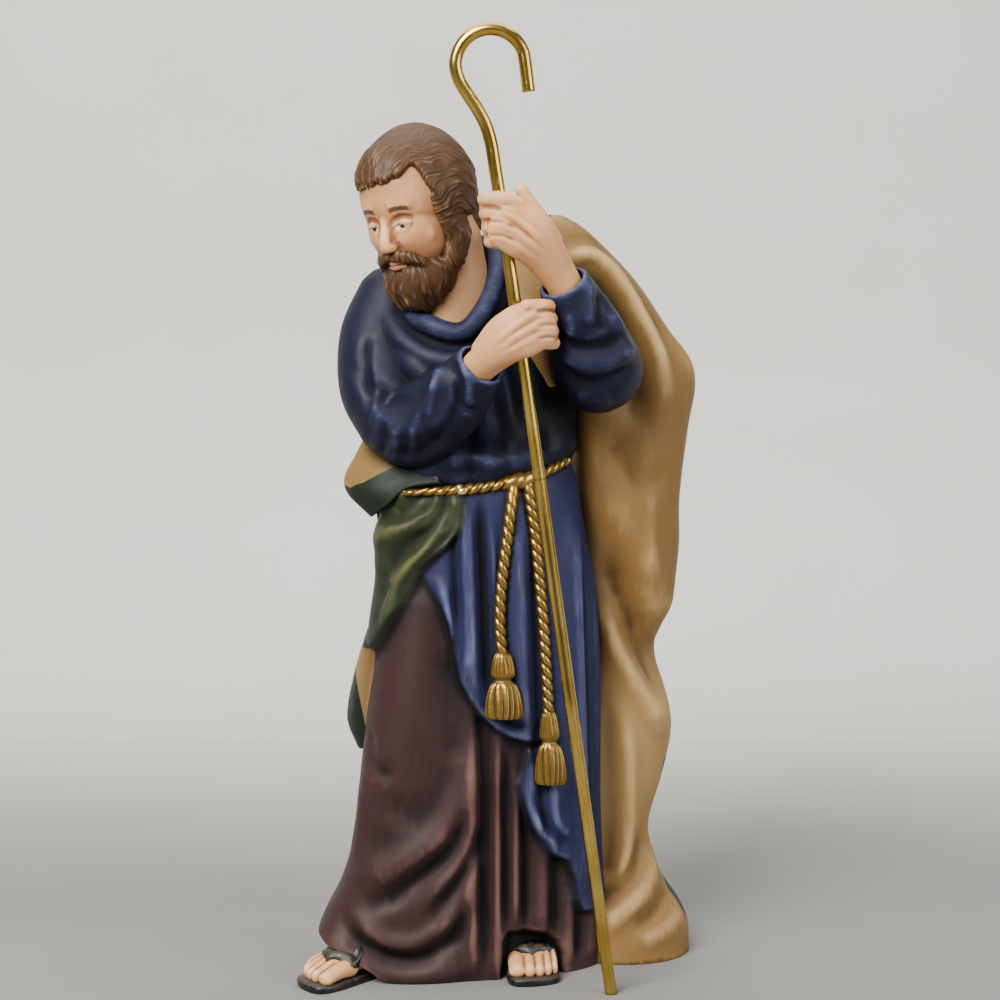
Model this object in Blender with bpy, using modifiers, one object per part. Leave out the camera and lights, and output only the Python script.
"""A cast porcelain figurine of a bearded man in robe, tunic and cloak, who leans on a brass shepherd's staff.

The figure is one casting and the staff is one bent rod that slides down through both fists.
Points are written in grid units, 242 to the figure's height, x to the viewer's right, y away, z up.
"""

import math

import bmesh
import bpy
import numpy as np
from mathutils import Matrix, Vector
from mathutils.bvhtree import BVHTree

MM = 0.001

# Driving sizes, in millimetres
FIGURE_HEIGHT = 242.0
ROD_DIAMETER = 3.5
GRIP_CLEARANCE = 0.35
CLOAK_THICKNESS = 3.2
LAPEL_THICKNESS = 2.4
SKIRT_RELIEF = 1.7
SASH_RELIEF = 2.6
HEM_UNDERCUT = 4.5
BELT_DIAMETER = 3.4
CORD_DIAMETER = 3.3
ROPE_TURN_EVERY = 6.4
SOLE_THICKNESS = 2.0

# The figure's own grid: how many units tall it is, and one unit in millimetres
UNITS_TALL = 242
UNIT = FIGURE_HEIGHT / UNITS_TALL

# Fineness of the casting on that grid, its facet count, and the rows and columns that the robe is shaped with
CAST_VOXEL = 0.9
FACE_VOXEL = 0.5
CAST_FACETS = 8800
ROBE_ROWS = 190
ROBE_COLUMNS = 240

# The staff, on the figure's grid: its foot on the floor, its grip in the upper fist, where its bend starts,
# and its crook
STAFF_FOOT = np.array((36.9, -26.0, 0.0))
STAFF_GRIP = np.array((6.4, -40.0, 216.7))
BEND_START = 219.0
CROOK_NECK = ((4.3, 230.0), (3.5, 235.0), (2.1, 239.9), (0.0, 244.0), (-2.7, 248.1), (-5.0, 251.8))
CROOK_CENTRE = np.array((3.6, -41.0, 256.0))
CROOK_RADII = (9.6, 8.7)
CROOK_ARC_DEG = (184, 12)
CROOK_TIP = np.array((13.3, -41.0, 248.8))
CROOK_FORWARD = 0.8
CROOK_BARS = 34

# Robe from floor to waist: height, left, right, front, back
ROBE_SECTIONS = (
    (0, -41, 37, -15, 29),
    (5, -45, 36.5, -16.5, 30),
    (11, -47, 36, -17, 30),
    (18, -44.5, 35.5, -17, 29),
    (26, -40.5, 34.5, -17, 28),
    (36, -37.3, 34, -17.5, 27),
    (50, -35, 33.5, -18, 26),
    (66, -33.6, 33.4, -18.5, 25),
    (80, -32, 33.3, -19, 24),
    (93, -30.3, 33, -19, 23),
    (108, -28.4, 32, -18.5, 22),
    (122, -26.8, 29.8, -18, 21),
    (129, -27.2, 28.4, -17.5, 20.5),
    (136, -24.5, 27, -17, 20),
    (142, -21.5, 26, -15.5, 20),
    (148, -19, 24, -13, 19),
)
ROBE_SKEW = 0.15
ROBE_SQUARENESS = 2.5

# Torso from waist to collar, in the same columns
TORSO_SECTIONS = (
    (134, -20, 26, -15, 19),
    (142, -21, 26.5, -17, 20),
    (154, -23, 27, -18.5, 21),
    (168, -26, 28, -18.5, 22),
    (180, -28, 28, -17.5, 22),
    (190, -28, 26, -9.5, 21),
    (197, -25, 22, -4.5, 19),
    (203, -18, 15, -1, 17),
    (207, -10, 8, 3, 13),
)

# Layer outlines in the front plane, as (x, z)
SKIRT_OUTLINE = (
    (-60, 150), (-60, 140.8), (-5.6, 141.2), (-6, 132), (-9, 126), (-16.4, 117.8), (-13.9, 113.3),
    (-11.3, 108.8),
    (-9.1, 103.7), (-7.9, 97.9), (-6.9, 91.5), (-6, 87.6), (-3.7, 83.2), (-0.5, 78.1), (4, 73.6),
    (8.6, 70.4), (13.6, 68.2),
    (11.9, 62.2), (10.2, 57.3), (11.4, 52.1), (13.4, 45.5), (15.9, 40.6), (19.6, 36.2), (23.9, 33.6),
    (25.5, 28.8), (26.3, 22), (28.5, 17.4), (33, 16.4), (60, 16.4), (60, 150),
)
SASH_OUTLINE = (
    (-4.6, 141.2), (-4.3, 136), (-4.8, 132), (-6.4, 128.6), (-9, 125.4), (-12.4, 122.2), (-15.4, 119),
    (-17.4, 114.6),
    (-19.4, 110.2), (-22.2, 105.7), (-25.2, 100.4), (-28.5, 95.6), (-36, 91.5), (-60, 91), (-60, 140.8),
)
RIGHT_FOOT_ARCH = (
    (-60, 11), (-46, 9.5), (-43.6, 8.4), (-38.5, 6.8), (-34.5, 4.8), (-30.9, 2.8), (-28.5, 0.5), (-27, -3),
    (-60, -8),
)
LEFT_FOOT_ARCH = (
    (6.9, -3), (6.9, 6), (7.2, 11.4), (8.6, 13.4), (13, 13.6), (19, 12.2), (22, 9.6), (23.4, 6), (23.4, -3),
)

# Sleeves as stations along the arm: x, y, z, half width, half depth
RIGHT_UPPER_SLEEVE = (
    (-24.5, 5, 192, 11.5, 11.5), (-27.5, 2, 182, 12.5, 13), (-26.8, -4, 170, 13, 13),
    (-23.5, -8.5, 161.5, 12, 12),
)
RIGHT_FORE_SLEEVE = (
    (-23.5, -8.5, 161, 11.5, 11.5), (-18, -13.5, 159.2, 12, 12), (-10, -22, 164, 10.5, 10.5),
    (-4.5, -29, 170, 9, 9),
    (0.2, -33.8, 176.2, 6.9, 7.1),
)
LEFT_SLEEVE = (
    (16, 7, 197, 10, 11), (25, 3, 189, 11.5, 12), (32, -8, 176, 12.3, 12), (33, -15, 175, 12.3, 11.5),
    (30.5, -22, 181, 11.3, 11), (26.8, -29, 190, 9.3, 9.5), (23.2, -33.2, 198, 6.9, 7.2),
)
COLLAR_RADIUS = 2.9
COLLAR_RING = (
    (-19.5, -8, 190.5), (-13, -15.6, 186.6), (-6, -17, 184.8), (-1.2, -15.6, 187.6), (2.8, -11, 194.4),
    (4.8, -5, 202),
    (3.5, 4, 208), (-6, 11, 209), (-17, 5, 203),
)
COWL_RADIUS = 3.9
COWL_RING = (
    (-25, -4, 189), (-18, -13.5, 180), (-7, -17, 176.5), (6, -15, 181), (13, -7, 192), (12, 5, 202),
    (-4, 14, 204), (-19, 9, 198),
)
NECK = ((-6, -4, 183, 11, 11), (-6.5, -5, 191, 10.6, 10.6), (-7, -6, 200, 9.4, 9.8), (-9, -7, 216, 8.6, 9))

# Head: its place and tilt, and the hollows of the eyes and cheeks as (centre, size, depth), one on each side
HEAD_CENTRE = (-17.3, -10.0, 219.0)
HEAD_YAW_DEG = -35
HEAD_PITCH_DEG = 21
HEAD_ROLL_DEG = -5
FACE_DENTS = (
    ((4.9, -15.5, 0.9), (3.0, 5, 2.1), 1.9), ((7.6, -13, -9), (3, 5, 4), 0.9),
    ((0, -17, -13.4), (3.2, 4, 1.2), 0.35),
)

# Head carving on its own axes: nose, half the moustache and one sideburn as stations, the beard's rows of
# locks as
# (height, reach, length, count), and the hair's rings of locks as (start, end, count)
NOSE_BRIDGE = (
    (0, -14.6, 5, 1.9, 1.4), (0, -16.4, 1, 1.6, 1.5), (0, -18.4, -3, 1.7, 1.7), (0, -18.9, -4.7, 2.0, 1.6),
)
MOUSTACHE = (
    (0.6, -17.3, -7.3, 1.3, 1.0), (3, -16.9, -8, 1.3, 1.2), (5, -14.9, -10.4, 1.1, 1.1),
    (5.6, -13.6, -13.6, 0.8, 0.8),
)
SIDEBURN = (
    (12.7, -4.5, 6, 1.4, 2.6), (12.6, -5.5, 0, 1.3, 2.6), (11.9, -6.5, -6, 1.3, 2.4),
    (11.2, -7, -11, 1.2, 2.2),
)
BEARD_ROWS = ((-6.5, 12.3, 7.5, 8), (-12, 12.4, 8, 10), (-16, 12.6, 7, 9), (-19, 11.4, 6, 7))
HAIR_RINGS = ((0.12, 0.85, 9), (0.55, 1.3, 15), (1.0, 1.75, 19), (1.45, 2.2, 20))

# Back of the cloak, as guides from its top edge to its foot, from the right hip round to behind the left
# shoulder
CLOAK_GUIDES = (
    ((-33, 2, 141), (-28, 2, 131), (-28, 5, 116), (-30, 8, 98), (-32, 12, 70), (-35, 16, 36), (-37, 18, 0)),
    ((-32, 8, 152), (-28, 11, 140), (-28, 14, 120), (-29, 17, 98), (-31, 21, 70), (-34, 26, 36),
     (-35, 28, 0)),
    ((-25, 20, 171), (-24, 22, 155), (-23, 23, 132), (-23, 25, 104), (-23, 29, 70), (-25, 34, 36),
     (-26, 37, 0)),
    ((-8, 22, 198), (-9, 25, 178), (-9, 26, 146), (-9, 28, 110), (-9, 32, 72), (-10, 38, 36), (-10, 42, 0)),
    ((5, 15, 212), (7, 23, 192), (8, 27, 158), (8, 29, 116), (9, 33, 74), (9, 39, 37), (10, 42, 0)),
    ((15, 4, 217), (20, 18, 202), (24, 25, 166), (25, 28, 122), (26, 32, 78), (26, 36, 38), (28, 38, 0)),
    ((24, 6, 212), (32, 16, 196), (37, 22, 166), (38, 25, 124), (38, 27, 80), (39, 30, 40), (42, 32, 0)),
)

# Body of cloth between the robe and the cloak's back, and the open wing: height, left, right, front, back
BACK_SECTIONS = (
    (-4, -36, 38, 0, 40), (36, -34, 36, 0, 36), (72, -32, 35, 0, 31), (110, -30, 33, 0, 27),
    (150, -26, 31, 0, 23),
)
WING_SECTIONS = (
    (-4, 26, 62.5, 0, 35), (2, 26, 62.3, 0.5, 34), (8, 26, 62, 1.5, 33), (15, 26, 59, 3.5, 32),
    (26, 26, 52, 6, 31),
    (38, 26, 49.8, 6, 30), (52, 26, 53.5, 5, 29), (64, 26, 56, 4, 28), (72, 26, 56, 4, 28),
    (80, 26, 54.4, 5, 27),
    (90, 26, 51.2, 6, 27), (98, 26, 53, 6, 26), (106, 26, 56, 5, 26), (121, 26, 58.3, 4, 26),
    (136, 26, 58.3, 3, 26),
    (156, 25, 60.5, 2, 25), (168, 24, 62.4, 1, 24), (176, 22, 61, 0, 23), (185, 18, 54.5, -1, 22),
    (198, 13, 45.8, -2, 20),
    (208, 10, 36.5, -2, 17), (214, 11, 29.5, -1, 13), (217.5, 15, 23.5, 1, 9),
)
WING_SKEW = 0.1

# The cloak's corner tucked up at the right hip, its turned-back tail below, and the lapel between the arms,
# as guides
POUCH_GUIDES = (
    ((-27, 14, 160), (-30, 10, 150), (-30, 4, 143), (-26, 0, 136)),
    ((-28, 4, 160), (-34, 0, 149), (-37, -3, 141.2), (-29.5, -8, 133.5)),
    ((-22, 2, 158), (-27, -7, 150), (-30, -11, 141.5), (-25.5, -13.5, 136.5)),
    ((-20, -3, 153), (-21, -9, 149), (-20.5, -13.2, 144.5), (-19.5, -15.6, 141)),
    ((-12, -10, 151), (-12, -13.6, 147.4), (-11.5, -16.4, 145), (-10.5, -18.6, 142.8)),
)
TAIL_GUIDES = (
    ((-31, 6, 99), (-35, 5, 86), (-37.4, 6, 73), (-35, 8, 65)),
    ((-30.5, -2, 98), (-34, -2, 85), (-35, 0, 73), (-33.6, 3, 64)),
    ((-27, -8.5, 97), (-29.6, -8, 85), (-31, -5, 75), (-32, -1, 66)),
)
LAPEL_GUIDES = (
    ((9, -8, 206), (10, -16, 194), (13, -17, 181), (19.6, -15, 170.6)),
    ((14, -8, 207), (15, -17, 194), (17, -18, 181), (20.2, -15.5, 169.8)),
    ((20, -6, 208), (20, -16, 194), (20.5, -16, 181), (20.8, -14.5, 170.2)),
)


def spline(points, count):
    """A smooth curve through the points, as count rows."""
    p = np.array(points, float)
    ends = np.vstack([2 * p[0] - p[1], p, 2 * p[-1] - p[-2]])
    t = np.linspace(0, len(p) - 1, count)
    i = np.minimum(t.astype(int), len(p) - 2)
    f = (t - i)[:, None]
    a, b, c, d = ends[i], ends[i + 1], ends[i + 2], ends[i + 3]
    return 0.5 * (2 * b + (c - a) * f + (2 * a - 5 * b + 4 * c - d) * f**2 + (3 * b - a - 3 * c + d) * f**3)


def closed_spline(points, count):
    """A smooth closed ring through the points."""
    p = np.array(points, float)
    n = len(p)
    t = np.arange(count) * n / count
    i = t.astype(int)
    f = (t - i)[:, None]
    a, b, c, d = p[(i - 1) % n], p[i % n], p[(i + 1) % n], p[(i + 2) % n]
    return 0.5 * (2 * b + (c - a) * f + (2 * a - 5 * b + 4 * c - d) * f**2 + (3 * b - a - 3 * c + d) * f**3)


def new_object(name, points, faces):
    mesh = bpy.data.meshes.new(name)
    mesh.from_pydata([tuple(p) for p in points], [], faces)
    obj = bpy.data.objects.new(name, mesh)
    bpy.context.scene.collection.objects.link(obj)
    bm = bmesh.new()
    bm.from_mesh(mesh)
    bmesh.ops.recalc_face_normals(bm, faces=bm.faces)
    bm.to_mesh(mesh)
    bm.free()
    return obj


def loft(name, rings, loop=False):
    """A skin over rings of equal length, capped at both ends or joined end to end."""
    rings = np.array(rings)
    n, m = rings.shape[:2]
    faces = []
    for i in range(n if loop else n - 1):
        for j in range(m):
            k, l = (i + 1) % n, (j + 1) % m
            faces.append((i * m + j, i * m + l, k * m + l, k * m + j))
    if not loop:
        faces += [tuple(range(m)), tuple(range((n - 1) * m, n * m))]
    return new_object(name, rings.reshape(-1, 3), faces)


def drum(name, sections, skew=0.0, squareness=2.3, rows=60, around=96):
    """A standing form from (height, left, right, front, back) sections."""
    s = spline(sections, rows)
    angle = np.linspace(0, 2 * math.pi, around, endpoint=False)
    c, d = np.cos(angle), np.sin(angle)
    power = 2 / squareness
    c, d = np.sign(c) * np.abs(c) ** power, np.sign(d) * np.abs(d) ** power
    rings = []
    for z, left, right, front, back in s:
        x = (left + right) / 2 + (right - left) / 2 * c
        y = (front + back) / 2 + (back - front) / 2 * d + skew * (x - (left + right) / 2)
        rings.append(np.stack([x, y, np.full_like(x, z)], 1))
    return loft(name, rings)


def limb(name, stations, rows=24, around=24):
    """A tapering limb through stations of (x, y, z, half width, half depth)."""
    s = spline(stations, rows)
    p, r = s[:, :3], s[:, 3:5]
    t = np.gradient(p, axis=0)
    t /= np.linalg.norm(t, axis=1)[:, None]
    side = np.cross(t, (0, 1, 0.01))
    side /= np.linalg.norm(side, axis=1)[:, None]
    out = np.cross(side, t)
    caps = np.radians((80, 60, 40, 20))
    first = [(p[0] - t[0] * r[0].mean() * math.sin(a), r[0] * math.cos(a), side[0], out[0]) for a in caps]
    bulge = t[-1] * r[-1].mean()
    last = [(p[-1] + bulge * math.sin(a), r[-1] * math.cos(a), side[-1], out[-1]) for a in caps[::-1]]
    stack = first + list(zip(p, r, side, out)) + last
    angle = np.linspace(0, 2 * math.pi, around, endpoint=False)
    c, d = np.cos(angle)[:, None], np.sin(angle)[:, None]
    return loft(name, [q + c * w[0] * a + d * w[1] * b for q, w, a, b in stack])


def ring_tube(name, points, radius, around=16, count=64):
    """A closed tube along a ring of points."""
    p = closed_spline(points, count)
    t = np.roll(p, -1, 0) - np.roll(p, 1, 0)
    t /= np.linalg.norm(t, axis=1)[:, None]
    centre = p.mean(0)
    out = p - centre
    out -= (out * t).sum(1)[:, None] * t
    out /= np.linalg.norm(out, axis=1)[:, None]
    up = np.cross(t, out)
    angle = np.linspace(0, 2 * math.pi, around, endpoint=False)
    c, d = np.cos(angle)[:, None], np.sin(angle)[:, None]
    rings = [q + radius * (c * a + d * b) for q, a, b in zip(p, out, up)]
    return loft(name, rings, loop=True)


def blob(name, centre, radii, turn=None, fine=24):
    """An ellipsoid, turned by a rotation matrix."""
    mesh = bpy.data.meshes.new(name)
    bm = bmesh.new()
    bmesh.ops.create_uvsphere(bm, u_segments=fine, v_segments=fine // 2, radius=1)
    bmesh.ops.scale(bm, vec=radii, verts=bm.verts)
    if turn is not None:
        bmesh.ops.rotate(bm, matrix=turn, verts=bm.verts)
    bmesh.ops.translate(bm, vec=centre, verts=bm.verts)
    bm.to_mesh(mesh)
    bm.free()
    obj = bpy.data.objects.new(name, mesh)
    bpy.context.scene.collection.objects.link(obj)
    return obj


def sheet(name, guides, thickness, folds=(), across=70, down=80):
    """A thick sheet hung on guide lines, folded, its thickness laid evenly on both sides."""
    lines = np.array([spline(g, down) for g in guides])
    grid = np.array([spline(lines[:, j], across) for j in range(down)])
    faces = [
        (j * across + i, j * across + i + 1, (j + 1) * across + i + 1, (j + 1) * across + i)
        for j in range(down - 1)
        for i in range(across - 1)
    ]
    obj = new_object(name, grid.reshape(-1, 3), faces)
    if folds:
        pleat(obj, folds, back=True)
    solid = obj.modifiers.new("Thickness", "SOLIDIFY")
    solid.thickness = thickness
    solid.offset = 0
    return apply(obj)


def apply(obj):
    """The object with its modifiers made real."""
    graph = bpy.context.evaluated_depsgraph_get()
    mesh = bpy.data.meshes.new_from_object(obj.evaluated_get(graph))
    obj.modifiers.clear()
    old = obj.data
    obj.data = mesh
    bpy.data.meshes.remove(old)
    return obj


def join(name, objects):
    """Several closed forms as one mesh, which remeshing then fuses."""
    bm = bmesh.new()
    for o in objects:
        bm.from_mesh(o.data)
    mesh = bpy.data.meshes.new(name)
    bm.to_mesh(mesh)
    bm.free()
    for o in objects:
        bpy.data.objects.remove(o)
    obj = bpy.data.objects.new(name, mesh)
    bpy.context.scene.collection.objects.link(obj)
    return obj


def fuse(name, objects, voxel, relax=4):
    """One skin round all the forms, with its creases softened."""
    obj = join(name, objects)
    remesh = obj.modifiers.new("Fuse", "REMESH")
    remesh.mode = "VOXEL"
    remesh.voxel_size = voxel
    remesh.adaptivity = 0
    if relax:
        smooth = obj.modifiers.new("Soften", "SMOOTH")
        smooth.factor = 0.5
        smooth.iterations = relax
    return apply(obj)


def arrays(obj):
    mesh = obj.data
    co = np.empty(len(mesh.vertices) * 3)
    no = np.empty(len(mesh.vertices) * 3)
    mesh.vertices.foreach_get("co", co)
    mesh.vertices.foreach_get("normal", no)
    return co.reshape(-1, 3), no.reshape(-1, 3)


def put(obj, co):
    obj.data.vertices.foreach_set("co", co.astype(np.float32).ravel())
    obj.data.update()


def inside_depth(x, z, outline):
    """How far each point lies inside a closed outline, negative outside."""
    p = np.array(outline, float)
    q = np.roll(p, -1, 0)
    near = np.full(x.shape, 1e9)
    odd = np.zeros(x.shape, bool)
    for (ax, az), (bx, bz) in zip(p, q):
        dx, dz = bx - ax, bz - az
        t = np.clip(((x - ax) * dx + (z - az) * dz) / (dx * dx + dz * dz), 0, 1)
        near = np.minimum(near, np.hypot(x - ax - t * dx, z - az - t * dz))
        if az != bz:
            odd ^= ((az > z) != (bz > z)) & (x < (bx - ax) * (z - az) / (bz - az) + ax)
    return np.where(odd, near, -near)


def step(value, width):
    t = np.clip(value / width * 0.5 + 0.5, 0, 1)
    return t * t * (3 - 2 * t)


def fold(co, no, path, width, height, back=False):
    """Height of a fold that runs along a front-plane path: a ridge above 0, a furrow below 0."""
    line = spline(path, 5 * (len(path) - 1) + 1)
    x, z = co[:, 0], co[:, 2]
    best = np.full(len(co), 1e9)
    along = np.zeros(len(co))
    n = len(line) - 1
    for i in range(n):
        (ax, az), (bx, bz) = line[i], line[i + 1]
        dx, dz = bx - ax, bz - az
        t = np.clip(((x - ax) * dx + (z - az) * dz) / (dx * dx + dz * dz + 1e-9), 0, 1)
        d = np.hypot(x - ax - t * dx, z - az - t * dz)
        nearer = d < best
        best = np.where(nearer, d, best)
        along = np.where(nearer, (i + t) / n, along)
    u = best / width
    shape = (1 - 0.55 * u * u) * np.exp(-0.75 * u * u)
    ends = np.clip(np.minimum(along, 1 - along) * 5 + 0.12, 0, 1)
    facing = np.clip((no[:, 1] if back else -no[:, 1]) * 1.6 + 0.25, 0, 1)
    return height * shape * ends * facing


def pleat(obj, folds, back=False):
    """Presses a list of folds, (width, height, path), into a form."""
    co, no = arrays(obj)
    rise = sum(fold(co, no, path, width, height, back) for width, height, path in folds)
    put(obj, co + no * rise[:, None])
    return obj


# Folds as (width, height, path): ridges stand above 0 and furrows go below, paths are (x, z) in the front
# plane
ROBE_FOLDS = (
    (5.0, 2.3,
     ((-34, 27), (-28.7, 31.9), (-23.4, 34.6), (-11.2, 43.1), (-5.2, 53.1), (-2.1, 61), (-0.6, 72))),
    (3.4, -1.9, ((-33, 21.5), (-25, 25.3), (-20.4, 29.2), (-9.7, 37.7), (-5.9, 43.1), (-3.4, 52))),
    (3.8, 1.9, ((-17, 20), (-11.3, 28.4), (-7.5, 33), (-4.4, 39.2), (-1.4, 47), (0, 60))),
    (3.0, -1.5, ((-15, 18), (-9, 26.8), (-4.4, 33), (-1.4, 40), (-0.6, 47))),
    (3.4, -1.9, ((-40.1, 20.9), (-34.8, 13.1), (-28.8, 9.2), (-22, 7.4), (-15.9, 8.4), (-8, 13), (-3, 21))),
    (3.4, 1.3, ((-38, 20), (-28.8, 13.6), (-21.9, 12), (-15.9, 13.4), (-8.2, 20))),
    (3.8, 1.7, ((-46, 14.7), (-38.7, 9), (-31.1, 3.7), (-22, 1.6), (-11.3, 2.6), (-1.4, 5))),
    (8.0, 2.0, ((-14, 122), (-17, 104), (-20.5, 84), (-25, 64), (-30, 44))),
    (5.0, -1.2, ((-31, 76), (-27, 58), (-20, 50), (-12, 55), (-8, 70))),
)
ROBE_PLEATS = (
    (1.3, -2.6, 2.8, 2, 94), (4.9, 1.5, 2.6, 3, 78), (7.2, -1.5, 2.2, 15, 66), (13, -1.8, 2.4, 14, 58),
    (17.5, 1.6, 3.0, 13, 46), (21.5, -1.7, 2.6, 11, 40), (25.2, 1.2, 2.6, 2, 26), (28.6, -1.3, 2.4, 3, 24),
)
SKIRT_PLEATS = (
    (-6.0, -1.4, 2.4, 90, 138), (-2.4, 2.0, 3.0, 84, 140), (1.4, -1.7, 2.4, 80, 139),
    (11.0, 2.0, 3.8, 66, 138),
    (15.0, -1.5, 2.6, 54, 128), (21.5, 1.0, 2.8, 30, 120), (26, 1.9, 3.0, 26, 138),
    (29.4, -1.6, 2.4, 28, 134),
)
SKIRT_LEAN = -0.035
SKIRT_FOLDS = (
    (2.2, -1.4, ((5, 71), (11, 69.6), (17, 68.4), (21, 70))),
    (2.4, 1.2, ((17.5, 67), (14.2, 60), (13.4, 52), (16.2, 44.5), (20, 39.5))),
    (2.2, -1.2, ((19.5, 65), (17.4, 57), (17.4, 50), (20, 44), (24, 38))),
    (2.6, 1.1, ((-12.5, 118), (-8.5, 108), (-5.5, 98), (-4, 88))),
)
SASH_FOLDS = (
    (3.6, 2.1, ((-8.5, 131), (-15.4, 122.7), (-20.1, 116.2), (-23.7, 108.5), (-25.2, 99))),
    (2.8, -1.7, ((-14, 131), (-21.3, 123.2), (-24.9, 117.3), (-27.6, 105))),
    (3.0, 1.4, ((-14, 136.5), (-19.5, 131), (-25.5, 128), (-29, 122), (-29, 112))),
    (2.8, -1.5, ((-11, 137.5), (-18, 134), (-24, 132.4), (-28.5, 128.5))),
    (2.2, -1.2, ((-22.4, 116), (-24.8, 110), (-26.6, 102))),
)
TORSO_FOLDS = (
    (4.5, 1.8, ((-24, 180), (-14, 172), (-6, 167), (4, 164))),
    (3.8, -2.0, ((-24, 172), (-14, 163), (-4, 156), (8, 152))),
    (3.8, 1.4, ((-16, 149), (-4, 151), (8, 149), (20, 152))),
    (3.4, -1.4, ((10, 190), (11, 176), (14, 162), (20, 150))),
    (2.4, 0.9, ((-9, 170), (-7, 156), (-6, 140))),
    (2.4, 0.9, ((0, 172), (2, 156), (3, 141))),
    (2.4, -0.9, ((5, 174), (6.5, 158), (7.5, 142))),
)
SLEEVE_FOLDS = (
    (3.0, -1.2, ((-36, 176), (-27, 168), (-19, 166.5), (-13, 172.5))),
    (3.4, 1.5, ((-34, 165), (-24, 160), (-15, 160), (-8, 166))),
    (2.8, -1.3, ((-26, 152), (-17, 152), (-9, 159))),
    (2.6, 1.2, ((-12.2, 178), (-11, 172), (-13.7, 166.9), (-18, 158))),
    (2.4, -1.1, ((-9.3, 178.6), (-6, 174.5), (-5.5, 167), (-8, 160))),
    (2.8, -1.7, ((19, 187), (20.8, 184.5), (24.2, 182), (29.1, 181), (34.5, 182.2), (40, 185))),
    (2.6, -1.4, ((22, 178), (23.7, 175), (27.6, 171.9), (32, 171.8), (37.5, 174.3), (42, 178))),
    (3.2, 1.5, ((21, 181.5), (26, 177.5), (32, 176.5), (38, 178), (43, 182))),
    (2.8, 1.3, ((28.9, 200), (29.7, 193.1), (28.5, 187))),
    (2.8, 1.3, ((35, 192), (38.4, 185.2), (40, 178))),
    (2.4, 0.9, ((-21.2, 160), (-22.4, 155), (-23.9, 148.5))),
    (2.4, -1.0, ((-31.4, 184), (-31.6, 175), (-29.6, 166))),
)
WING_FOLDS = (
    (3.4, 2.6, ((24, 204.5), (28, 206), (33, 205.5), (39, 200), (45, 190), (51, 178), (54, 165))),
    (5.6, -4.2, ((28, 199), (34, 193), (40, 183), (44, 170), (45, 156))),
    (3.4, -1.7, ((31, 211.5), (37, 207), (43, 200), (50, 189), (56, 176))),
    (5.2, -3.2, ((35, 124), (41, 105), (48, 90), (55, 77))),
    (4.8, 2.8, ((35, 108), (41, 92), (48, 79), (54, 66))),
    (6.0, 1.8, ((36, 140), (44, 126), (51, 112), (54, 98))),
    (5.0, -1.6, ((36, 154), (43, 146), (52, 138))),
    (4.4, -2.4, ((36, 84), (37.5, 58), (38, 36), (37, 19))),
    (3.4, 1.6, ((42, 76), (43.5, 54), (43, 34), (41, 21))),
    (3.0, -1.8, ((33, 19), (38, 20.5), (43, 24), (46.5, 31), (47.5, 40))),
    (3.8, 1.9, ((34, 11), (41, 14), (47.5, 20), (51, 28), (52, 38))),
    (3.2, -1.2, ((44, 11), (51, 14.5), (56, 20), (57.5, 26))),
)
BACK_FOLDS = tuple(
    (width, height, ((x + 4, 190), (x + 1.5, 130), (x, 75), (x - 2, 8)))
    for x, width, height in ((-24, 5, 2.2), (-16, 4.5, -2.4), (-6, 6, 2.5), (3, 4.5, -2.4), (12, 6, 2.4),
                             (21, 4.5, -2.2), (30, 5.5, 2.2), (39, 4.5, -2), (47, 5, 1.8))
)

# Rope belt and its two hanging cords with tassels: x, y, z
BELT_FRONT = (
    (-21, -11, 140.3), (-11, -18.2, 141), (0, -20.8, 141.8), (11.3, -19.4, 143.6), (18.5, -14, 146),
    (24.5, -6, 148.5),
)
CORD_ONE = ((9.5, -20.4, 142.5), (8, -22, 130), (6.3, -22.4, 116), (5.7, -22.6, 105), (6.4, -22.8, 95))
CORD_TWO = ((13.5, -19.8, 142.5), (15.4, -21, 130), (16.8, -21.4, 116), (18.2, -21.6, 99), (19.4, -21.6, 78))
TASSEL_ONE = ((6.4, -22.8, 96), (6.8, -22.6, 77.8), 5.0)
TASSEL_TWO = ((19.4, -21.6, 78.5), (20, -21.4, 58), 4.2)
TASSEL_PROFILE = (
    (0, 0.34), (0.06, 0.5), (0.2, 0.62), (0.34, 0.66), (0.42, 0.46), (0.5, 0.7), (0.7, 0.92), (0.92, 1),
    (1, 0.9),
)
KNOT_CENTRE = (11.4, -20.2, 143.8)
KNOT_RADII = (4.2, 2.6, 2.8)

# Places whose carving keeps more facets: centre and reach
FINE_CARVING = (
    ((-18, -10, 217), (20, 20, 28)), ((11, -40, 199), (15, 12, 28)), ((6.4, -22, 87), (7, 6, 12)),
    ((20, -21, 68), (6, 6, 12)),
    ((11, -22, 118), (9, 5, 28)), ((0, -20, 142), (26, 8, 4)),
)

# Feet: origin, heading in degrees from straight ahead, length, width. Toes run from the big one out, as
# shares of the width
RIGHT_FOOT = ((-44.3, -18.4), -45, 19, 13.6)
LEFT_FOOT = ((15.2, -13.0), 3, 17, 13.8)
TOE_WIDTHS = (0.31, 0.215, 0.19, 0.16, 0.125)
TOE_TIPS = (-5.0, -5.1, -4.8, -4.1, -2.9)


def staff_point(height):
    """A point on the straight part of the staff at a height."""
    return STAFF_FOOT + (STAFF_GRIP - STAFF_FOOT) * height / STAFF_GRIP[2]


def turned(points, turn, move):
    return [tuple(turn @ Vector(p) + Vector(move)) for p in points]


def skin_tree(obj):
    """A form's skin, for laying cords on."""
    mesh = obj.data
    return BVHTree.FromPolygons([v.co for v in mesh.vertices], [p.vertices for p in mesh.polygons])


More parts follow.
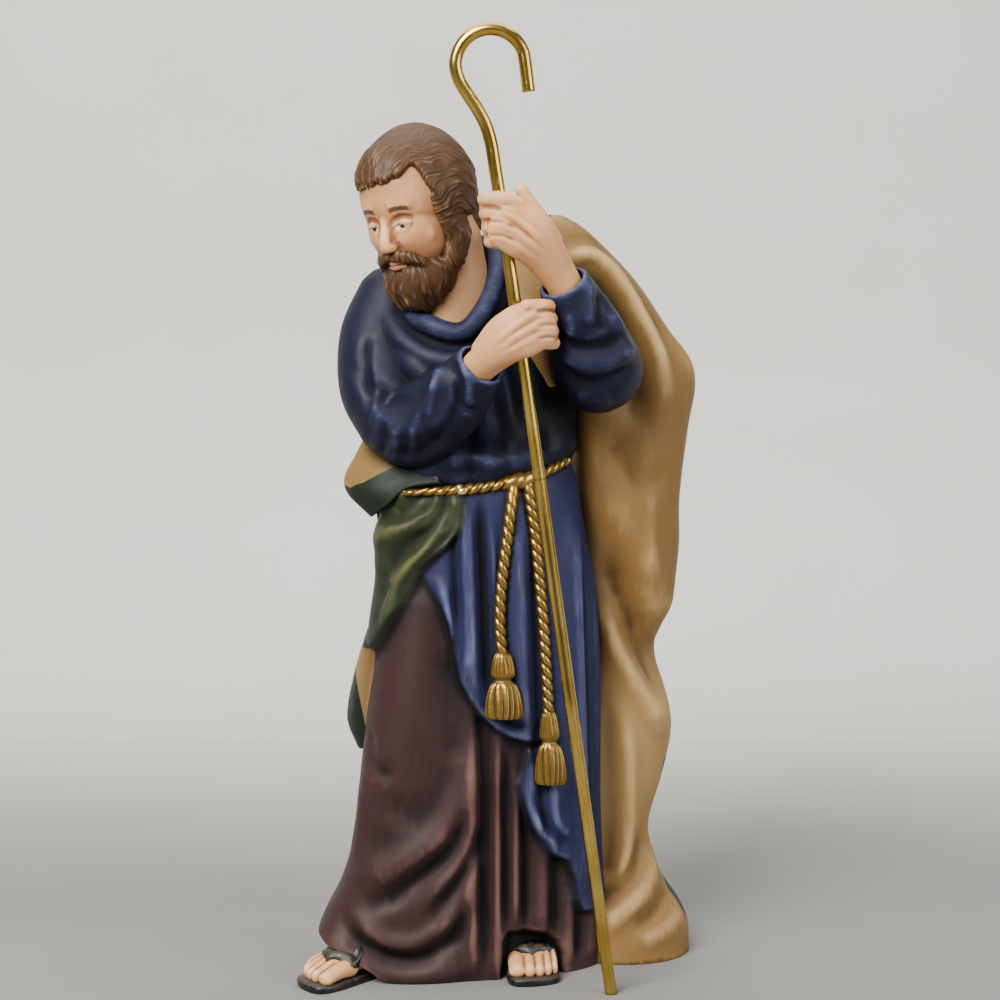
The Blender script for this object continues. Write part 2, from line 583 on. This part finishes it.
def laid(points, cloth, clearance, count):
    """A path laid on the cloth: each point is pushed back till the cord just rests on what is behind it."""
    path = spline(points, count)
    rest = []
    for x, _, z in path:
        hits = [tree.ray_cast(Vector((x, -90, z)), Vector((0, 1, 0)))[0] for tree in cloth]
        rest.append(min(hit.y for hit in hits if hit is not None))
    rest = np.array(rest)
    for _ in range(8):
        rest[1:-1] = np.minimum(rest[1:-1], (rest[:-2] + rest[1:-1] * 2 + rest[2:]) / 4 + 0.06)
    path[:, 1] = rest - clearance
    return path


def strand(name, points, radius, cloth, relief=0.3, around=16):
    """A two-ply rope laid on the cloth, half sunk in it."""
    length = np.linalg.norm(np.diff(np.array(points, float), axis=0), axis=1).sum()
    path = laid(points, cloth, radius * 0.6, max(int(length / 0.6), 12))
    along = np.concatenate([[0], np.cumsum(np.linalg.norm(np.diff(path, axis=0), axis=1))])
    t = np.gradient(path, axis=0)
    t /= np.linalg.norm(t, axis=1)[:, None]
    side = np.cross(t, (0, 1, 0.02))
    side /= np.linalg.norm(side, axis=1)[:, None]
    out = np.cross(side, t)
    angle = np.linspace(0, 2 * math.pi, around, endpoint=False)
    rings = []
    for p, s, a, b in zip(path, along, side, out):
        turn = angle - 2 * math.pi * s / (ROPE_TURN_EVERY / UNIT)
        swell = (1 - relief * (1 - np.abs(np.cos(turn))) ** 1.6) * radius
        rings.append(p + swell[:, None] * (np.cos(angle)[:, None] * a + np.sin(angle)[:, None] * b))
    return loft(name, rings)


def tassel(name, top, bottom, radius, cloth, flutes=9, around=36):
    """A bound tassel: a round head, a tied neck and a fluted skirt."""
    middle = ((top[0] + bottom[0]) / 2, 0, (top[2] + bottom[2]) / 2)
    rest = laid((top, middle, bottom), cloth, radius * 0.45, 12)
    top = np.array((top[0], rest[0][1], top[2]))
    bottom = np.array((bottom[0], min(rest[:, 1]), bottom[2]))
    profile = spline(TASSEL_PROFILE, 26)
    angle = np.linspace(0, 2 * math.pi, around, endpoint=False)
    rings = []
    for share, width in profile:
        flute = 0.09 * step(share - 0.45, 0.1) * np.cos(flutes * angle)
        r = radius * width * (1 + flute)
        centre = top + (bottom - top) * share
        ring = np.stack([r * np.cos(angle), 0.62 * r * np.sin(angle), np.zeros_like(r)], 1)
        rings.append(centre + ring)
    return loft(name, rings)


def scalp(theta, swirl, lift=0.0):
    """A point on the head's crown shape: theta down from the whorl, swirl round it."""
    tilt = math.radians(-24)
    x = math.sin(theta) * math.sin(swirl)
    y = -math.sin(theta) * math.cos(swirl)
    z = math.cos(theta)
    y, z = y * math.cos(tilt) - z * math.sin(tilt), y * math.sin(tilt) + z * math.cos(tilt)
    return (x * (14.6 + lift), 0.6 + y * (17.8 + lift), 4.6 + z * (17.2 + lift))


def hairline(theta, swirl):
    """Whether hair grows here: it stops at the brow and the ear and runs down to the nape."""
    x, y, z = scalp(theta, swirl)
    if y < -9:
        return z > 12.5 - 0.1 * abs(x) ** 1.3
    if y < 1:
        return z > -3
    return z > -13


def head(name, turn, move):
    """A head with combed-forward hair and a full short beard, turned and set in place."""
    parts = []

    def ball(centre, radii, spin=None):
        parts.append(blob(name, centre, radii, spin))

    def lock(stations, rows=9, around=8):
        parts.append(limb(name, stations, rows, around))

    ball((0, 2, 5), (13.2, 16.6, 15.4))
    ball((0, -5.5, -2.5), (11.2, 11.0, 15.5))
    ball((0, -9.5, -14), (7.6, 7.0, 6.6))
    ball((0, -13.2, 4.6), (8.4, 2.6, 2.2))
    for side in (-1, 1):
        ball((side * 7.0, -11.9, -3.6), (3.6, 3.4, 3.4))
        ball((side * 1.5, -17.2, -5.3), (1.4, 1.7, 1.3))
        ball((side * 12.8, 0.5, -1), (1.8, 3.2, 4.6))
    lock(NOSE_BRIDGE)
    face = fuse(name, parts, FACE_VOXEL, 6)
    co, _ = arrays(face)
    for centre, size, depth in FACE_DENTS:
        for side in (-1, 1):
            near = (((co - (side * centre[0], centre[1], centre[2])) / size) ** 2).sum(1)
            co[:, 1] += depth * np.exp(-near)
    put(face, co)
    parts = [face]
    for side in (-1, 1):
        ball((side * 4.9, -13.1, 0.6), (2.3, 2.1, 1.7))
    for reach, top, fat in ((-16.9, -9.6, 0.75), (-16.8, -11.1, 0.85)):
        corner = (reach + 1.4, top - 0.2, 0.4, 0.5)
        lock(((-3, *corner), (0, reach, top, fat, fat), (3, *corner)))

    # Moustache, two locks that part under the nose and turn down at the mouth's corners
    for side in (-1, 1):
        lock([(side * x, *rest) for x, *rest in MOUSTACHE])

    # Beard, in rows of locks that fall from the cheek and jaw
    ball((0.5, -7.2, -16.6), (10.2, 10.1, 8.8))
    ball((0.4, -8.0, -19.4), (8.0, 8.0, 7.0))
    ball((10.0, 8.0, -5.8), (3.9, 5.8, 6.0))
    ball((-10.0, 8.0, -5.0), (3.4, 5.0, 5.0))
    for row, (height, reach, length, count) in enumerate(BEARD_ROWS):
        for k in range(count):
            spread = 86 - row * 5
            angle = math.radians(-spread + 2 * spread * (k + 0.5 * (row % 2)) / (count - 0.5))
            if row == 0 and abs(angle) < 0.8:
                continue
            sway = 1.1 * math.sin(k * 2.1 + row)
            stations = []
            for s, fat in ((0, 0.5), (0.35, 1.6), (0.7, 1.5), (1.0, 0.4)):
                r = reach * (1 - 0.22 * s * (0.4 + row * 0.3))
                x = r * 0.84 * math.sin(angle) + sway * math.sin(3 * s)
                y = -3.2 - r * 0.92 * math.cos(angle)
                stations.append((x, y, height - length * s, fat, fat * 0.9))
            lock(stations)

    # Hair, in rings of locks that leave a whorl at the crown and are combed to the brow and the nape
    for ring, (start, end, count) in enumerate(HAIR_RINGS):
        for k in range(count):
            swirl = 2 * math.pi * (k + 0.5 * (ring % 2)) / count
            curl = 0.22 * math.sin(k * 1.7 + ring) + 0.16
            if not hairline(start + 0.3, swirl):
                continue
            stations = []
            for s, fat in ((0, 0.5), (0.3, 2.0), (0.65, 1.9), (1.0, 0.5)):
                theta = start + (end - start) * s
                around = swirl + curl * s + 0.07 * math.sin(6 * s + k)
                while theta > start and not hairline(theta, around):
                    theta -= 0.05
                stations.append((*scalp(theta, around, 0.55 - 0.5 * s), fat, fat * 0.8))
            lock(stations)
    for side in (-1, 1):
        lock([(side * x, *rest) for x, *rest in SIDEBURN])
    skull = join(name, parts)
    co, _ = arrays(skull)
    matrix = np.array(turn)
    put(skull, co @ matrix.T + np.array(move))
    return skull


def fist(name, wrist, palm, heights, around_rod, thumb, finger=2.05):
    """A hand closed on the staff: a palm, four fingers that wrap the rod, and a thumb."""
    parts = [limb(name, wrist, 14, 20), limb(name, palm, 14, 20)]
    for k, height in enumerate(heights):
        rod = staff_point(height)
        fat = finger * (1 - 0.05 * abs(k - 1))
        path = [(rod[0] + dx, rod[1] + dy, rod[2] + dz, fat * f, fat * f) for dx, dy, dz, f in around_rod]
        parts.append(limb(name, path, 20, 12))
    parts.append(limb(name, thumb, 12, 12))
    return parts


def lying(name, stations, turn, move, rows=12, around=20):
    """A rounded form along y through stations of (x, y, z, half width, half height), turned and moved."""
    s = [tuple(row) for row in spline(stations, rows)]
    caps = np.radians((78, 54, 30, 12))

    def rounded(row, way):
        x, y, z, w, h = row
        return [(x, y + way * min(w, h) * math.sin(a), z, w * math.cos(a), h * math.cos(a)) for a in caps]

    rings = []
    angle = np.linspace(0, 2 * math.pi, around, endpoint=False)
    for x, y, z, w, h in rounded(s[0], 1) + s + rounded(s[-1], -1)[::-1]:
        ring = [(x + w * math.cos(a), y, z + h * math.sin(a)) for a in angle]
        rings.append(turned(ring, turn, move))
    return loft(name, rings)


def foot(name, origin, heading, length, width):
    """A sandalled foot: a thin sole cut close to five toes, and a band over the instep."""
    turn = Matrix.Rotation(math.radians(heading), 3, "Z")
    big = 1 if heading < 0 else -1
    move = (origin[0], origin[1], 0)
    top = SOLE_THICKNESS / UNIT
    outline = (
        (big * 0.53, -3.4), (big * 0.38, -6.9), (big * 0.05, -7.2), (-big * 0.3, -5.9), (-big * 0.54, -2.8),
        (-big * 0.5, 6),
        (-big * 0.34, length), (big * 0.34, length), (big * 0.53, 5),
    )
    sole = []
    for z, inset in ((-1, 0.3), (top * 0.75, 0.0), (top, 0.4)):
        ring = closed_spline([(x * (width - inset), y * (1 - inset / length), z) for x, y in outline], 40)
        sole.append(turned(ring, turn, move))
    parts = [loft(name, sole)]
    edge = 0.5
    for share, tip in zip(TOE_WIDTHS, TOE_TIPS):
        x = big * width * (edge - share / 2)
        edge -= share
        half = width * share * 0.54
        toe = ((x * 0.97, 6.0, 4.9, half, 2.6), (x, 1.5, 4.7, half, 2.3), (x, tip + 1.7, 3.5, half, 1.8))
        parts.append(lying(name, toe, turn, move))
    instep = (
        (0, length, 6.4, width * 0.4, 4.2), (0, 8, 5.6, width * 0.46, 3.5),
        (0, 3.6, 4.8, width * 0.47, 2.7),
    )
    band = (
        (0, length, 8.4, width * 0.42, 5.4), (0, 9.5, 7.8, width * 0.5, 5.2),
        (0, 5.6, 6.0, width * 0.53, 3.7),
    )
    return parts + [lying(name, instep, turn, move), lying(name, band, turn, move)]


def staff_line():
    """The staff's centre line: straight from the floor to above the upper fist, then bent into the crook."""
    neck = [(x, STAFF_GRIP[1] - CROOK_FORWARD, z) for x, z in CROOK_NECK]
    arc = []
    for share in np.linspace(0, 1, 13):
        angle = math.radians(CROOK_ARC_DEG[0] + (CROOK_ARC_DEG[1] - CROOK_ARC_DEG[0]) * share)
        radius = CROOK_RADII[0] + (CROOK_RADII[1] - CROOK_RADII[0]) * share
        arc.append(CROOK_CENTRE + radius * np.array((math.cos(angle), 0, math.sin(angle))))
    bent = spline([staff_point(BEND_START), *neck, *arc, CROOK_TIP], CROOK_BARS)
    return np.vstack([STAFF_FOOT, staff_point(BEND_START / 2), bent])


def rod(name, radius):
    """The staff as a bent round bar with flat closed ends."""
    curve = bpy.data.curves.new(name, "CURVE")
    curve.dimensions = "3D"
    curve.bevel_depth = radius
    curve.bevel_resolution = 2
    curve.use_fill_caps = True
    line = curve.splines.new("POLY")
    points = staff_line()
    points[0] += (STAFF_FOOT - STAFF_GRIP) * 0.01
    line.points.add(len(points) - 1)
    for point, p in zip(line.points, points):
        point.co = (*p, 1)
    holder = bpy.data.objects.new(name, curve)
    bpy.context.scene.collection.objects.link(holder)
    mesh = bpy.data.meshes.new_from_object(holder.evaluated_get(bpy.context.evaluated_depsgraph_get()))
    bpy.data.objects.remove(holder)
    bpy.data.curves.remove(curve)
    bm = bmesh.new()
    bm.from_mesh(mesh)
    bmesh.ops.remove_doubles(bm, verts=bm.verts, dist=0.01)
    bmesh.ops.recalc_face_normals(bm, faces=bm.faces)
    bm.to_mesh(mesh)
    bm.free()
    obj = bpy.data.objects.new(name, mesh)
    bpy.context.scene.collection.objects.link(obj)
    return flatten_base(obj)


def upright(pleats, lean=0.0):
    """Pleat records (x, height, width, low, high) as fold records that hang nearly straight down."""
    made = []
    for x, height, width, low, high in pleats:
        path = [(x + lean * (z - 100), z) for z in (low, (low + high) / 2, high)]
        made.append((width, height, path))
    return made


def above_belt(x, z):
    """How far each point stands above the rope belt's line."""
    path = np.array(BELT_FRONT)
    return z - np.interp(x, path[:, 0], path[:, 2])


def folds_rise(co, no, folds):
    return sum(fold(co, no, path, width, height) for width, height, path in folds)


def robe():
    """Robe, wrap skirt and sash in one form, with the feet's arches pressed into the hem."""
    obj = drum("robe", ROBE_SECTIONS, ROBE_SKEW, ROBE_SQUARENESS, ROBE_ROWS, ROBE_COLUMNS)
    co, no = arrays(obj)
    front = np.clip(-no[:, 1] * 3 + 1.2, 0, 1)
    x, z = co[:, 0], co[:, 2]
    skirt = step(inside_depth(x, z, SKIRT_OUTLINE), 1.2)
    sash = step(inside_depth(x, z, SASH_OUTLINE), 1.4)
    arch = np.maximum(inside_depth(x, z, RIGHT_FOOT_ARCH), inside_depth(x, z, LEFT_FOOT_ARCH))
    rise = folds_rise(co, no, list(ROBE_FOLDS) + upright(ROBE_PLEATS)) * (1 - skirt) * (1 - sash)
    rise += folds_rise(co, no, upright(SKIRT_PLEATS, SKIRT_LEAN) + list(SKIRT_FOLDS)) * skirt * (1 - sash)
    rise += folds_rise(co, no, SASH_FOLDS) * sash
    layers = SKIRT_RELIEF * skirt * (1 - sash) + SASH_RELIEF * sash - HEM_UNDERCUT * step(arch, 2.4)
    rise += front * layers / UNIT
    rise -= 5.0 * step(above_belt(x, z) - 1.5, 4.0)
    put(obj, co + no * rise[:, None])
    return obj


def torso():
    """Torso, bloused a little over the belt."""
    obj = pleat(drum("torso", TORSO_SECTIONS, ROBE_SKEW, 2.2, 90, 160), TORSO_FOLDS)
    co, no = arrays(obj)
    over = above_belt(co[:, 0], co[:, 2])
    rise = 1.9 * np.exp(-(((over - 4.5) / 4.0) ** 2)) - 3.0 * step(-over, 3.0)
    put(obj, co + no * (rise * np.clip(-no[:, 1] * 1.6 + 0.25, 0, 1))[:, None])
    return obj


def casting():
    """The whole figure as separate closed forms, ready to be fused into one skin."""
    forms = [robe(), torso()]
    cloth = [skin_tree(form) for form in forms]
    for stations in (RIGHT_UPPER_SLEEVE, RIGHT_FORE_SLEEVE, LEFT_SLEEVE):
        forms.append(pleat(limb("sleeve", stations, 70, 72), SLEEVE_FOLDS))
    forms.append(limb("neck", NECK, 16, 24))
    forms.append(ring_tube("collar", COLLAR_RING, COLLAR_RADIUS))
    forms.append(ring_tube("cowl", COWL_RING, COWL_RADIUS))
    forms.append(drum("cloak body", BACK_SECTIONS))
    forms.append(sheet("cloak back", CLOAK_GUIDES, CLOAK_THICKNESS / UNIT, BACK_FOLDS, 130, 150))
    wing = drum("cloak wing", WING_SECTIONS, WING_SKEW, 2.2, 170, 120)
    forms.append(pleat(pleat(wing, WING_FOLDS), BACK_FOLDS, back=True))

    turn = Matrix.Rotation(math.radians(HEAD_YAW_DEG), 3, "Z")
    turn = turn @ Matrix.Rotation(math.radians(HEAD_ROLL_DEG), 3, "Y")
    turn = turn @ Matrix.Rotation(math.radians(HEAD_PITCH_DEG), 3, "X")
    forms.append(head("head", turn, HEAD_CENTRE))

    forms += fist(
        "right hand",
        ((-2, -33.2, 174.2, 4.6, 4.6), (2.5, -37.4, 178.6, 4.9, 4.7), (8, -42.2, 183.6, 6.0, 3.8)),
        ((1.5, -37.5, 177.8, 4.4, 4.2), (5.5, -41.4, 181.8, 5.7, 4.1), (10.5, -43.6, 185.6, 7.2, 3.2),
         (16, -42.2, 188, 6.8, 2.8)),
        (192.9, 189.6, 186.3, 183.1),
        ((3.0, -5.0, 0, 0.9), (7.2, -3.6, -0.2, 1.05), (9.0, 0.6, -0.4, 1.0), (5.8, 4.2, -0.6, 0.95),
         (0.8, 4.4, -0.6, 0.85)),
        ((1, -38, 181, 3, 3), (5, -35.5, 187, 2.6, 2.6), (9.5, -33.8, 190, 2.2, 2.2),
         (14, -34, 190.3, 1.8, 1.8)),
        1.95,
    )
    forms += fist(
        "left hand",
        ((24.6, -32.5, 195.0, 4.9, 4.9), (21.6, -35, 200.5, 4.9, 4.7), (17, -40, 207, 5.8, 3.9)),
        ((21.8, -35.2, 200.6, 4.3, 4.1), (18.5, -38.8, 205.4, 5.5, 4.0), (13.5, -43.2, 211, 7.2, 3.4),
         (8.0, -44.6, 214.5, 7.2, 2.6)),
        (220.6, 216.8, 213.0, 209.4),
        ((5.0, -4.4, -0.8, 0.9), (0.6, -4.7, 0.2, 1.08), (-3.4, -3.0, 0.2, 1.0), (-4.4, 0.8, 0.2, 0.95),
         (-1.6, 4.3, 0, 0.9), (2.4, 4.3, 0, 0.8)),
        ((19, -38.5, 210, 3.4, 3.2), (16.8, -38.5, 215, 2.5, 2.4), (14.0, -38.6, 219.2, 2.1, 2.0),
         (11.3, -39, 223.4, 1.7, 1.6)),
    )
    forms += foot("right foot", *RIGHT_FOOT)
    forms += foot("left foot", *LEFT_FOOT)

    forms.append(strand("belt", BELT_FRONT, BELT_DIAMETER / 2 / UNIT, cloth))
    forms.append(strand("cord one", CORD_ONE, CORD_DIAMETER / 2 / UNIT, cloth))
    forms.append(strand("cord two", CORD_TWO, CORD_DIAMETER / 2 / UNIT, cloth))
    forms.append(blob("knot", KNOT_CENTRE, KNOT_RADII))
    forms.append(tassel("tassel one", *TASSEL_ONE, cloth))
    forms.append(tassel("tassel two", *TASSEL_TWO, cloth))
    forms.append(sheet("pouch", POUCH_GUIDES, CLOAK_THICKNESS / UNIT, (), 30, 30))
    forms.append(sheet("tail", TAIL_GUIDES, CLOAK_THICKNESS / UNIT, (), 24, 30))
    forms.append(sheet("lapel", LAPEL_GUIDES, LAPEL_THICKNESS / UNIT, (), 24, 30))
    return forms


def decimate(obj, facets):
    """The form with about that many triangles, spent first on the head, hands, cords and feet."""
    triangles = sum(len(p.vertices) - 2 for p in obj.data.polygons)
    co, _ = arrays(obj)
    plain = np.ones(len(co))
    for centre, size in FINE_CARVING:
        plain -= 0.7 * np.exp(-((((co - centre) / size) ** 2).sum(1) ** 2))
    group = obj.vertex_groups.new(name="plain cloth")
    for level in range(11):
        chosen = np.where(np.round(np.clip(plain, 0, 1) * 10) == level)[0]
        group.add(chosen.tolist(), level / 10, "REPLACE")
    thin = obj.modifiers.new("Facets", "DECIMATE")
    thin.ratio = min(1, facets / triangles)
    thin.vertex_group = group.name
    thin.vertex_group_factor = 4
    return apply(obj)


def flatten_base(obj):
    """Cuts the form off at the floor and closes the cut."""
    bm = bmesh.new()
    bm.from_mesh(obj.data)
    parts = bm.verts[:] + bm.edges[:] + bm.faces[:]
    cut = bmesh.ops.bisect_plane(bm, geom=parts, plane_co=(0, 0, 0), plane_no=(0, 0, -1), clear_outer=True)
    rim = [e for e in cut["geom_cut"] if isinstance(e, bmesh.types.BMEdge)]
    bmesh.ops.holes_fill(bm, edges=rim, sides=0)
    bmesh.ops.triangulate(bm, faces=[f for f in bm.faces if len(f.verts) > 4])
    bmesh.ops.recalc_face_normals(bm, faces=bm.faces)
    bm.to_mesh(obj.data)
    bm.free()
    return obj


def largest_piece(obj):
    """The biggest connected skin alone, without inner pockets left by fusing."""
    bm = bmesh.new()
    bm.from_mesh(obj.data)
    bm.verts.ensure_lookup_table()
    seen = np.zeros(len(bm.verts), bool)
    groups = []
    for seed in bm.verts:
        if seen[seed.index]:
            continue
        seen[seed.index] = True
        stack, group = [seed], []
        while stack:
            v = stack.pop()
            group.append(v)
            for e in v.link_edges:
                w = e.other_vert(v)
                if not seen[w.index]:
                    seen[w.index] = True
                    stack.append(w)
        groups.append(group)
    groups.sort(key=len)
    bmesh.ops.delete(bm, geom=[v for g in groups[:-1] for v in g], context="VERTS")
    bm.to_mesh(obj.data)
    bm.free()
    return obj


def finish(obj, name, material, collection):
    """Scales a form from grid units to metres, names it, paints it and files it."""
    obj.data.transform(Matrix.Scale(UNIT * MM, 4))
    obj.name = obj.data.name = name
    obj.data.materials.clear()
    obj.data.materials.append(material)
    for c in obj.users_collection:
        c.objects.unlink(obj)
    collection.objects.link(obj)
    return obj


def paint(name, colour, roughness, metallic):
    material = bpy.data.materials.new(name)
    material.use_nodes = True
    shader = material.node_tree.nodes["Principled BSDF"]
    shader.inputs["Base Color"].default_value = (*colour, 1)
    shader.inputs["Roughness"].default_value = roughness
    shader.inputs["Metallic"].default_value = metallic
    return material


def main():
    for obj in list(bpy.data.objects):
        bpy.data.objects.remove(obj)
    collection = bpy.data.collections.new("saint_joseph_figurine")
    cutters = bpy.data.collections.new("cutters")
    for c in (collection, cutters):
        bpy.context.scene.collection.children.link(c)

    figure = fuse("figurine", casting(), CAST_VOXEL, 2)
    largest_piece(figure)
    decimate(figure, CAST_FACETS)
    flatten_base(figure)

    channel = rod("grip channel", ROD_DIAMETER / 2 / UNIT + GRIP_CLEARANCE / UNIT)
    channel.hide_render = True
    channel.display_type = "WIRE"
    bpy.context.scene.collection.objects.unlink(channel)
    cutters.objects.link(channel)
    bore = figure.modifiers.new("Grip", "BOOLEAN")
    bore.object = channel
    bore.operation = "DIFFERENCE"
    bore.solver = "EXACT"
    apply(figure)
    largest_piece(figure)

    porcelain = paint("painted bisque porcelain", (0.62, 0.55, 0.5), 0.6, 0.0)
    brass = paint("polished brass", (0.72, 0.56, 0.28), 0.22, 1.0)
    finish(figure, "figurine", porcelain, collection)
    finish(rod("staff", ROD_DIAMETER / 2 / UNIT), "staff", brass, collection)
    channel.data.transform(Matrix.Scale(UNIT * MM, 4))


main()
